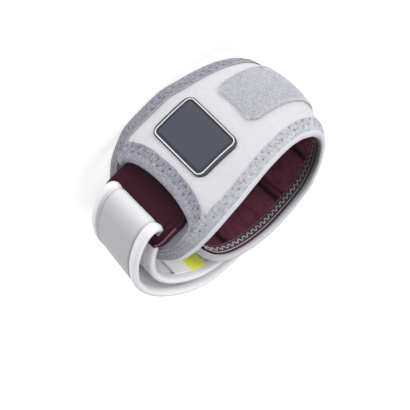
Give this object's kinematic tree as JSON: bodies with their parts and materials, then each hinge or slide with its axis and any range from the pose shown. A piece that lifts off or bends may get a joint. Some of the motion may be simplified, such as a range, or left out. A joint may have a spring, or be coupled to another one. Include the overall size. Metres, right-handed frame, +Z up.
{
  "type": "tennis elbow strap",
  "caption": "Padded forearm band for tennis elbow: a pull strap runs through a slide ring and folds back to tighten the band.",
  "frame": {"origin": "on the floor, under the middle of the whole strap's bounding box", "axes": "+X from the closed rounded end of the band to the strap's loop, +Y from the badge to the back of the band, +Z up along the axis of the forearm hollow"},
  "size_m": [0.1302, 0.0724, 0.0815],
  "materials": {
    "white_fabric": "smooth foam-backed knit, matt",
    "strap_fabric": "smooth coated elastic cloth, slight sheen",
    "grey_binding": "brushed elastic binding with zigzag stitching",
    "grey_loop": "short grey loop pile",
    "pale_patch": "fine pale grey loop pile",
    "plum_padding": "padded plum knit, matt",
    "teal_panel": "grey-green brushed knit",
    "dark_tape": "dark seam tape with white zigzag stitching",
    "slate_rubber": "moulded soft rubber, satin",
    "white_ink": "raised white line",
    "lime_print": "smooth lime printed ribbon"
  },
  "bodies": {
    "root": {"lining": "plum_padding", "shell": "white_fabric", "tongue_panel": "teal_panel", "top_bead": "white_fabric", "bottom_bead": "grey_binding", "top_binding": "grey_binding", "bottom_binding": "grey_binding", "arch_binding": "grey_binding", "top_tape": "dark_tape", "bottom_tape": "dark_tape", "slide_ring": "plum_padding", "strap": "strap_fabric", "strap_lining": "grey_loop", "hook_pad": "grey_binding", "tag_printed": "lime_print", "tag_bare": "strap_fabric", "loop_patch": "pale_patch", "badge": "slate_rubber", "badge_field": "slate_rubber", "badge_line": "white_ink"}
  },
  "joints": []
}
